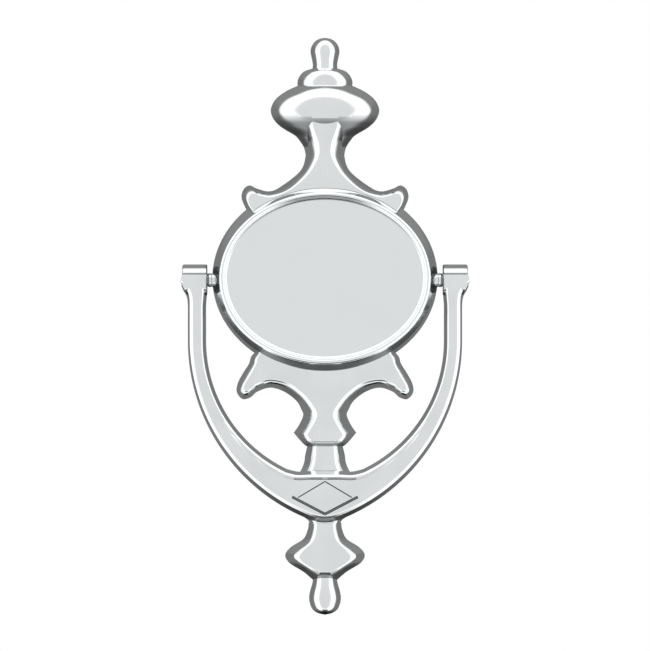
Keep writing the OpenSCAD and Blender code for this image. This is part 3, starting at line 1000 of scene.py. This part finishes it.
@dataclass
class Bail:
    """The swinging bail: two arms that meet in a pointed crosspiece, with a lug on each arm."""

    at: Layout
    arm: float = 6.4
    arm_top: float = -22.0
    nose_x: float = 10.5
    cross: float = 18.0
    tip_w: float = 5.9
    tip_r: float = 14.0
    lug_r: float = 5.5
    bore: float = 2.05
    lozenge_x: float = 9.7
    lozenge_z: float = 5.7
    pitch: float = 0.3

    def side_arc(self, x: float, top: float, width: float, drop: float, count: int = 60) -> Ring:
        """The arc of one side: upright at its top, then curving in.

        Args:
            x: Where it starts, from the centre line.
            top: The height it starts at.
            width: How far in it goes.
            drop: How far down it goes.
            count: Steps along it.

        Returns:
            Its points, from the top down.
        """
        r = (width**2 + drop**2) / (2 * width)
        turn = np.linspace(0, math.asin(drop / r), count)
        return np.column_stack([x - r + r * np.cos(turn), top - r * np.sin(turn)])

    def edges(self) -> tuple[Ring, Ring]:
        """The right half's outer edge from the tip up, and its inner edge from the lug down."""
        a = self.at
        arm_x = a.arm_in + 0.4
        arm_out = arm_x + self.arm
        tip_z, p = a.tip_z, a.pivot_z
        drop = self.arm_top - tip_z - self.tip_w**2 / (2 * self.tip_r)
        bow = self.side_arc(arm_out, self.arm_top, arm_out - self.tip_w, drop)[::-1]
        x = np.linspace(0, self.tip_w, 12, endpoint=False)
        tip = np.column_stack([x, tip_z + x**2 / (2 * self.tip_r)])
        flare = by(arm_out, p, (0, -12), (0.05, -8), (0.5, -5.6), (1.6, -3.6))
        flare += by(a.lug_out, p, (0.55, -1.6), (0.9, 0), (0.5, 1.2), (0, 2))
        outer = np.vstack([tip, bow, flowing(flare, 8)])
        cross_z = tip_z + self.cross
        inner_bow = self.side_arc(arm_x, self.arm_top, arm_x - self.nose_x, self.arm_top - cross_z + 0.5)
        neck = by(a.arm_in, p, (0, 2), (0, -2), (0.1, -5))
        neck += [(arm_x, p - 9), (arm_x, p - 13)]
        nose = [tuple(inner_bow[-4]), (self.nose_x - 1, cross_z - 0.15)]
        nose += [(self.nose_x / 2, cross_z + 0.02), (0, cross_z)]
        inner = np.vstack([flowing(neck, 8), inner_bow[:-4], flowing(nose, 8)])
        return outer, inner

    def rings(self) -> list[Ring]:
        """Rings of the bail from its back to the face, with the bead and line along its inner edge."""
        a = self.at
        outer, inner = (evenly(edge, self.pitch) for edge in self.edges())
        half = np.vstack([outer, inner])
        inside = np.concatenate([np.zeros(len(outer)), np.ones(len(inner))])
        points = np.vstack([half, (half * (-1, 1))[::-1][1:-1]])
        inside = np.concatenate([inside, inside[::-1][1:-1]])
        line = Outline(points, self.pitch)
        rise, height = line.out[:, 1], points[:, 1]
        clear = 1 - np.clip((height - (a.pivot_z - 3.5)) / 4.5, 0, 1)
        clear = clear * clear * (3 - 2 * clear)
        near = np.clip((-46 - height) / 18, 0, 1)
        draft_out = (0.75 + 0.85 * np.maximum(-rise, 0)) * (0.15 + 0.85 * clear)
        bevel_out = (1.45 - 0.2 * np.maximum(-rise, 0)) * (0.1 + 0.9 * clear)
        draft_in = 1.15 * (0.25 + 0.75 * clear)
        bevel_in = (0.6 + 0.4 * near) * (0.3 + 0.7 * clear)
        draft = np.where(inside > 0.5, draft_in, draft_out)
        bevel = np.where(inside > 0.5, bevel_in, bevel_out)
        groove = np.where(inside > 0.5, 0.75, 0.15)
        share = line.share(draft + bevel + groove)
        draft, bevel, groove = draft * share, bevel * share, groove * share
        cut = inside * near * np.clip(clear, 0, 1)
        base = points + (0, a.oval_z)
        made = [at_depth(line.moved_in(np.full(len(points), 0.35)) + (0, a.oval_z), a.bail_back)]
        made += [at_depth(base, a.bail_back - 0.35)]
        steps = [(0, 0.57), (0.2, 0.42), (0.42, 0.27), (0.62, 0.145), (0.8, 0.055), (0.93, 0.01), (1, 0)]
        for t, h in steps:
            made.append(at_depth(line.moved_in(draft + bevel * t) + (0, a.oval_z), a.bail_y + bevel * h))
        for t, h in ((0.25, 0.5), (0.6, 0.42), (1.0, 0)):
            ring = line.moved_in(draft + bevel + groove * t) + (0, a.oval_z)
            made.append(at_depth(ring, a.bail_y + cut * h))
        return made

    def lug(self, side: int) -> bpy.types.Object:
        """The barrel lug on one arm: round at the back and top, flush with the arm's face in front.

        Args:
            side: 1 for the right arm, -1 for the left.

        Returns:
            The lug's solid.
        """
        a = self.at
        depth = a.pivot_y - a.bail_y
        start = math.degrees(math.acos(depth / self.lug_r))
        angles = np.radians(np.linspace(start, 325, 84))
        arc = np.column_stack([-np.cos(angles), np.sin(angles)]) * self.lug_r
        step = by(-depth, 0, (0, -2.4), (0, 1.5), (0.42, 1.75), (0.42, 2.05), (0.05, 2.3))
        section = np.vstack([step, arc])
        rings = []
        for x, less in ((0, 0.35), (0.15, 0.12), (0.4, 0), (-0.6, 0), (-0.2, 0.15), (0, 0.4)):
            place = a.arm_in + x if len(rings) < 3 else a.lug_out + x
            shrunk = section * (1 - less / self.lug_r)
            y, z = shrunk[:, 0] + a.pivot_y, shrunk[:, 1] + a.pivot_z + a.oval_z
            rings.append(np.column_stack([np.full(len(y), side * place), y, z]))
        outer, low = a.arm_in + 0.4 + self.arm, a.pivot_z + a.oval_z
        flare = [(a.lug_out + 0.6, low - 0.6), (outer - 0.3, low - 6), (a.lug_out + 3, low - 8)]
        flare = np.array(flare) * (side, 1)
        trim = lofted("trim", [at_depth(flare, a.pivot_y + way * (self.lug_r + 1)) for way in (-1, 1)])
        return carved(lofted("lug", rings), [trim], "DIFFERENCE")

    def bar(self, start: Pair, end: Pair, width: float, depth: float) -> bpy.types.Object:
        """A cutter for one straight line of the lozenge.

        Args:
            start: One end, measured from the lozenge's centre.
            end: The other end.
            width: The line's width at the face.
            depth: The line's depth.

        Returns:
            The cutter.
        """
        a = self.at
        p, q = np.array(start), np.array(end)
        along = (q - p) / np.linalg.norm(q - p)
        across = np.array([-along[1], along[0]]) * width / 2
        top, floor = a.bail_y - 0.3, a.bail_y + depth
        rings = []
        for wide, y in ((1.25, top), (1.0, a.bail_y), (0.45, floor)):
            grow = along * (width / 2) * (wide - 1)
            corners = [p - grow - across * wide, q + grow - across * wide, q + grow + across * wide]
            corners.append(p - grow + across * wide)
            rings.append(at_depth(np.array(corners) + (0, a.boss_z + a.oval_z), y))
        return lofted("bar", rings)

    def build(self) -> bpy.types.Object:
        """The bail with its lugs, bores and incised lozenge.

        Returns:
            The bail.
        """
        a = self.at
        body = lofted("knocker_bail_casting", self.rings())
        carved(body, [self.lug(side) for side in (-1, 1)], "UNION")
        centre = (0, a.pivot_y, a.pivot_z + a.oval_z)
        reach = a.lug_out + 2
        line = [(self.bore, -reach), (self.bore, -a.arm_in + 1)]
        bores = [turned("bore", [(r, s * x) for r, x in line], Axis.X, centre, 48) for s in (-1, 1)]
        wide, high = self.lozenge_x, self.lozenge_z
        cuts = [self.bar((0, -high), (s * (wide + 1.8), 0.3), 0.95, 0.5) for s in (-1, 1)]
        cuts += [self.bar((s * (wide - 0.3), 0.1), (0, high), 0.42, 0.22) for s in (-1, 1)]
        carved(body, bores + cuts, "DIFFERENCE")
        weld(body)
        return body

    def dress(self, piece: bpy.types.Object) -> None:
        """Chromes the bail and paints shade into its cut lines, the nose line, the step above each pivot, the
        lugs' inner faces and the undersides near the centre line.
        """
        dress_with_back(piece, CHROME_BAIL, lambda y: y > self.at.bail_back - 0.05)
        shaded(piece)
        a = self.at
        x, y, z = face_values(piece, "center").T / MM
        below, up = y - a.bail_y, z - a.oval_z
        # painted shade: faces inside the lozenge's cut lines, the thin step line above each pivot, and the
        # lugs' inner faces, which the drum reflects
        painted_shade_faces = (0.02 < below) & (below < 0.9) & (abs(up - a.boss_z) < 6.3 - 0.46 * abs(x))
        painted_shade_faces |= (0.02 < below) & (below < 0.6) & (abs(up - a.pivot_z - 1.9) < 0.5)
        painted_shade_faces |= (abs(x) < a.arm_in + 0.3) & (abs(up - a.pivot_z) < self.lug_r)
        # painted shade, lighter: the thin line along the nose of the crosspiece
        painted_nose_shade = (0.1 < below) & (below < 0.5) & (abs(up - a.boss_z - 6.6) < 0.7) & (abs(abs(x) - 6) < 5)
        paint_shade(piece, np.maximum(np.maximum(0.85 * painted_shade_faces, 0.4 * painted_nose_shade), beneath(piece, 9.0)))


@dataclass
class Fixings:
    """The small turned parts: pins, washers, screws, studs, nuts, striker and anvil."""

    at: Layout
    pitch: float = 1.06
    pin_hole: float = 2.02
    stud_hole: float = 2.46
    hex_h: float = 4.0

    def along_y(
        self, node: str, line: Sequence[Pair], mid: Vector, count: int, **more: object
    ) -> bpy.types.Object:
        """A part turned about a line along Y through its box's middle.

        Args:
            node: The CAD node it stands for.
            line: (radius, depth) from one end to the other.
            mid: The middle of the node's box.
            count: Points round it.
            more: What else the turning needs.

        Returns:
            The part.
        """
        return turned(node + "_turned", line, Axis.Y, (mid.x, 0, mid.z), count, **more)

    def pin(self, node: str) -> bpy.types.Object:
        """A pivot pin with rounded ends."""
        low, high, mid = box_mm(node)
        r, e = (high.z - low.z) / 2, 0.35
        line = by(r, low.x, (-e, 0), (-0.1, 0.12), (0, e))
        line += by(r, high.x, (0, -e), (-0.1, -0.12), (-e, 0))
        return turned(node + "_turned", line, Axis.X, (0, mid.y, mid.z), 40)

    def pivot_washer(self, node: str) -> bpy.types.Object:
        """A rounded washer that fills the gap beside a lug."""
        low, high, mid = box_mm(node)
        r, half = (high.z - low.z) / 2, (high.x - low.x) / 2
        turn = np.linspace(-math.pi / 2, math.pi / 2, 9)
        line = [(r - 0.4 + 0.4 * math.cos(t), mid.x + half * math.sin(t)) for t in turn]
        return turned(node + "_turned", line, Axis.X, (0, mid.y, mid.z), 40, hole=self.pin_hole)

    def screw(self, node: str) -> bpy.types.Object:
        """A slotted pan-head screw."""
        low, high, mid = box_mm(node)
        r, head = (high.z - low.z) / 2, self.at.cavity_y
        line = [(1.2, low.y), (1.5, low.y + 0.5), (1.5, head)]
        line += by(r, head, (0, 0), (0, 0.9), (-0.25, 1.4))
        line += [(r - 0.8, head + 1.75), (r - 1.7, high.y), (0.3, high.y)]
        made = self.along_y(node, line, mid, 40)
        y = np.array([high.y - 0.9, high.y + 1])
        corners = [(x, d, z) for d in y for x, z in ((-4, -0.4), (4, -0.4), (4, 0.4), (-4, 0.4))]
        slot = solid("slot", np.array(corners) + (mid.x, 0, mid.z), BOX_FACES)
        return carved(made, [slot], "DIFFERENCE")

    def stud(self, node: str) -> bpy.types.Object:
        """A threaded mounting stud with a helical thread and chamfered ends."""
        low, high, mid = box_mm(node)
        major, count = (high.z - low.z) / 2, 24
        nut_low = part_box(node.replace("mounting_stud", "cap_nut"))[0].y / MM
        angle = round_angles(count)
        rings = []
        for y in np.arange(low.y, high.y + 1e-6, self.pitch / 6):
            phase = (y / self.pitch - angle / (2 * math.pi)) % 1.0
            tooth = np.clip(2.4 * np.abs(phase - 0.5) - 0.1, 0, 1)
            outer = major if y < nut_low - 1 else major - 0.25
            chamfer = min(1.0, (min(y - low.y, high.y - y) + 0.5) / 1.2)
            r = (outer - 0.42 * tooth) * (0.75 + 0.25 * chamfer)
            rings.append(np.column_stack([r * np.cos(angle), np.full(count, y), r * np.sin(angle)]))
        return lofted(node + "_threaded", [ring + (mid.x, 0, mid.z) for ring in rings])

    def finish_washer(self, node: str) -> bpy.types.Object:
        """A cupped washer for the inner side of the door."""
        low, high, mid = box_mm(node)
        r = (high.z - low.z) / 2
        line = by(r, low.y, (-0.3, 0), (0, 0.3), (-0.1, 0.7), (-0.8, 1.15))
        line += [(r - 2.2, high.y - 0.12), (r - 3.2, high.y)]
        return self.along_y(node, line, mid, 64, hole=self.stud_hole)

    def cap_nut(self, node: str) -> bpy.types.Object:
        """A domed cap nut with chamfered corners."""
        low, high, mid = box_mm(node)
        flats = (high.z - low.z) / 2
        corner = flats / math.cos(math.pi / 6)
        base, hex_h = low.y, self.hex_h

        def hexagon(angles: Ring, radius: float, place: float) -> Ring:
            """The hexagon's radius at each angle, held inside the given radius."""
            turn = (angles + math.pi / 2) % (math.pi / 3) - math.pi / 6
            return np.minimum(flats / np.cos(turn), radius)

        line = [(flats - 0.2, base), (flats + 0.05, base + 0.12), (corner, base + 0.55)]
        line += [(corner, base + hex_h - 0.6)]
        line += [(flats + 0.1, base + hex_h - 0.08), (flats - 0.35, base + hex_h)]
        dome_r, rise = flats - 0.7, high.y - base - hex_h
        for t in np.linspace(0, 88, 12):
            cut = math.radians(t)
            line.append((dome_r * math.cos(cut), base + hex_h + rise * math.sin(cut)))
        return self.along_y(node, line, mid, 72, radius_at=hexagon)

    def button(self, node: str, crown_first: bool) -> bpy.types.Object:
        """The striker or the anvil: a domed button on a pressed-in stem.

        Args:
            node: The CAD node.
            crown_first: True if the crown is at the front, as on the anvil.

        Returns:
            The button.
        """
        low, high, mid = box_mm(node)
        r, head = (high.z - low.z) / 2, BUTTON_HEAD
        crown, stem = (low.y, high.y) if crown_first else (high.y, low.y)
        way = 1 if crown_first else -1
        line = [(0.3, crown), (r - 1.6, crown + way * 0.03), (r - 0.7, crown + way * 0.2)]
        line += [(r - 0.15, crown + way * 0.6)]
        line += [(r, crown + way * 0.85), (r - 0.1, crown + way * head), (1.5, crown + way * head)]
        line += [(1.5, stem - way * 0.3), (1.2, stem)]
        return self.along_y(node, line, mid, 48)


BOX_FACES = [(0, 1, 2, 3), (4, 5, 6, 7), (0, 1, 5, 4), (1, 2, 6, 5), (2, 3, 7, 6), (3, 0, 4, 7)]


# ---------------------------------------------------------------- studio


@dataclass(frozen=True)
class Studio:
    """The pale floor, the soft light all round and the camera."""

    frame_mm: float = 227.66
    aim_z_mm: float = 1.89
    distance: float = 2.3
    sensor: float = 36.0
    floor_z: float = -0.18
    floor_radius: float = 1.15

    def camera(self) -> None:
        """A long lens square on to the knocker's face."""
        data = bpy.data.cameras.new("front_camera")
        data.sensor_width = self.sensor
        data.lens = self.sensor * self.distance / (self.frame_mm * MM)
        data.clip_start, data.clip_end = 0.05, 50.0
        camera = bpy.data.objects.new("front_camera", data)
        low, high = CAD_BOX
        camera.location = ((low.x + high.x) / 2, low.y - self.distance, self.aim_z_mm * MM)
        camera.rotation_euler = (math.pi / 2, 0, 0)
        bpy.context.scene.collection.objects.link(camera)
        bpy.context.scene.camera = camera

    def floor(self) -> None:
        """A round pale floor below the knocker."""
        angles = round_angles(96)
        edge = np.column_stack([np.cos(angles), np.sin(angles)]) * self.floor_radius
        mesh = bpy.data.meshes.new("studio_floor")
        mesh.from_pydata([(x, y, self.floor_z) for x, y in edge], [], [tuple(range(len(edge)))])
        floor = bpy.data.objects.new("studio_floor", mesh)
        bpy.context.scene.collection.objects.link(floor)
        material = bpy.data.materials.new("pale_floor")
        material.use_nodes = True
        kit = NodeKit(material.node_tree)
        place = kit.add("ShaderNodeTexCoord").outputs["Object"]
        mottle = kit.noise(place, 60.0, 3.0)
        colour = kit.blend(mottle, grey(0.8), grey(0.86))
        shader = kit.add("ShaderNodeBsdfPrincipled", {}, {"Base Color": colour, "Roughness": 0.9})
        kit.add("ShaderNodeOutputMaterial", {}, {"Surface": shader.outputs[0]})
        mesh.materials.append(material)
        floor.visible_glossy = False

    def surround(self) -> None:
        """Soft light all round: pale in front, white at the sides and above, dim behind and below."""
        world = bpy.data.worlds.new("studio")
        bpy.context.scene.world = world
        world.use_nodes = True
        kit = NodeKit(world.node_tree)
        way = kit.add("ShaderNodeTexCoord").outputs["Generated"]
        parts = kit.add("ShaderNodeSeparateXYZ", {}, {0: way})
        side, depth, up = abs(kit.out(parts, 0)), -kit.out(parts, 1), kit.out(parts, 2)
        level = 0.76 + 0.44 * depth.rise(0.72, 0.56)
        centre = side.rise(0.5, 0.2)
        behind = depth.rise(0.02, -0.2)
        dim = 0.19 - 0.15 * up.rise(-0.25, -0.5) * centre + 0.06 * up.rise(0.2, 0.5)
        level = level * (1 - behind) + dim * behind
        beneath = up.rise(-0.6, -0.85) * centre * depth.rise(0.56, 0.38)
        level = level * (1 - 0.9 * beneath)
        seen = kit.out(kit.add("ShaderNodeLightPath"), "Is Camera Ray")
        glow = kit.add("ShaderNodeBackground", {}, {"Color": grey(1.0), "Strength": level})
        paper = kit.add("ShaderNodeBackground", {}, {"Color": grey(1.0), "Strength": 1.0})
        both = kit.add("ShaderNodeMixShader", {}, {0: seen, 1: glow.outputs[0], 2: paper.outputs[0]})
        kit.add("ShaderNodeOutputWorld", {}, {"Surface": both.outputs[0]})

    def lamp(self) -> None:
        """One broad soft lamp above and behind, for the floor and the dull back."""
        data = bpy.data.lights.new("soft_lamp", "AREA")
        data.shape, data.size, data.size_y, data.energy = "RECTANGLE", 1.6, 1.2, 6.0
        lamp = bpy.data.objects.new("soft_lamp", data)
        lamp.location = (-0.7, 0.9, 1.3)
        lamp.rotation_euler = (Vector((0, 0, 0)) - lamp.location).to_track_quat("-Z", "Y").to_euler()
        lamp.visible_camera = False
        lamp.visible_glossy = False
        bpy.context.scene.collection.objects.link(lamp)

    def build(self) -> None:
        """Sets the whole studio up."""
        self.camera()
        self.floor()
        self.surround()
        self.lamp()
        bpy.context.scene.view_settings.view_transform = "Standard"


# ---------------------------------------------------------------- the whole


def settle(piece: bpy.types.Object, body: str, slot: str, *nodes: str) -> None:
    """Ties a finished piece to its CAD body, hides the nodes it stands for, and reports it.

    Args:
        piece: The piece.
        body: The CAD body it moves with.
        slot: Not used.
        nodes: The CAD nodes it stands for.
    """
    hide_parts(*nodes)
    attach(piece, body)
    LOG.info("%s: %d points on %s", piece.name, len(piece.data.vertices), body)


def dressed(piece: bpy.types.Object, finish: Finish, sharp_deg: float = 35.0) -> bpy.types.Object:
    """Gives a small part its one finish and its shading."""
    coated(piece, finish)
    shaded(piece, sharp_deg)
    return piece


def main() -> None:
    """Builds the studio and the knocker, piece by piece."""
    logging.basicConfig(level=logging.INFO, format="%(message)s")
    Studio().build()
    at = Layout.from_frame()

    plate = BackPlate(at)
    casting = plate.build()
    plate.dress(casting)
    settle(casting, "plate", "chrome_casting", "back_plate")

    oval = OvalPlate(at)
    disc = oval.build()
    oval.dress(disc)
    settle(disc, "plate", "chrome_oval", "oval_plate")

    bail = Bail(at)
    swing = bail.build()
    bail.dress(swing)
    settle(swing, "bail", "chrome_bail", "knocker_bail")

    small = Fixings(at)
    striker = dressed(small.button("striker_stud", False), STRIKER)
    settle(striker, "bail", "striker_metal", "striker_stud")
    anvil = dressed(small.button("anvil_button", True), STRIKER)
    settle(anvil, "plate", "striker_metal", "anvil_button")
    for side in ("left", "right"):
        pin, washer, screw = f"pivot_pin_{side}", f"pivot_washer_{side}", f"oval_plate_screw_{side}"
        settle(dressed(small.pin(pin), PIN_STEEL), "plate", "pivot_steel", pin)
        settle(dressed(small.pivot_washer(washer), CHROME_SMALL), "plate", "chrome_small", washer)
        settle(dressed(small.screw(screw), SCREW_STEEL), "plate", "steel_screw", screw)
    for end in ("upper", "lower"):
        stud, washer, nut = f"mounting_stud_{end}", f"finish_washer_{end}", f"cap_nut_{end}"
        settle(dressed(small.stud(stud), STUD_STEEL, 60), "plate", "stud_steel", stud)
        settle(dressed(small.finish_washer(washer), CHROME_SMALL), "plate", "chrome_small", washer)
        settle(dressed(small.cap_nut(nut), CHROME_SMALL, 25), "plate", "chrome_small", nut)


if __name__ == "__main__":
    main()
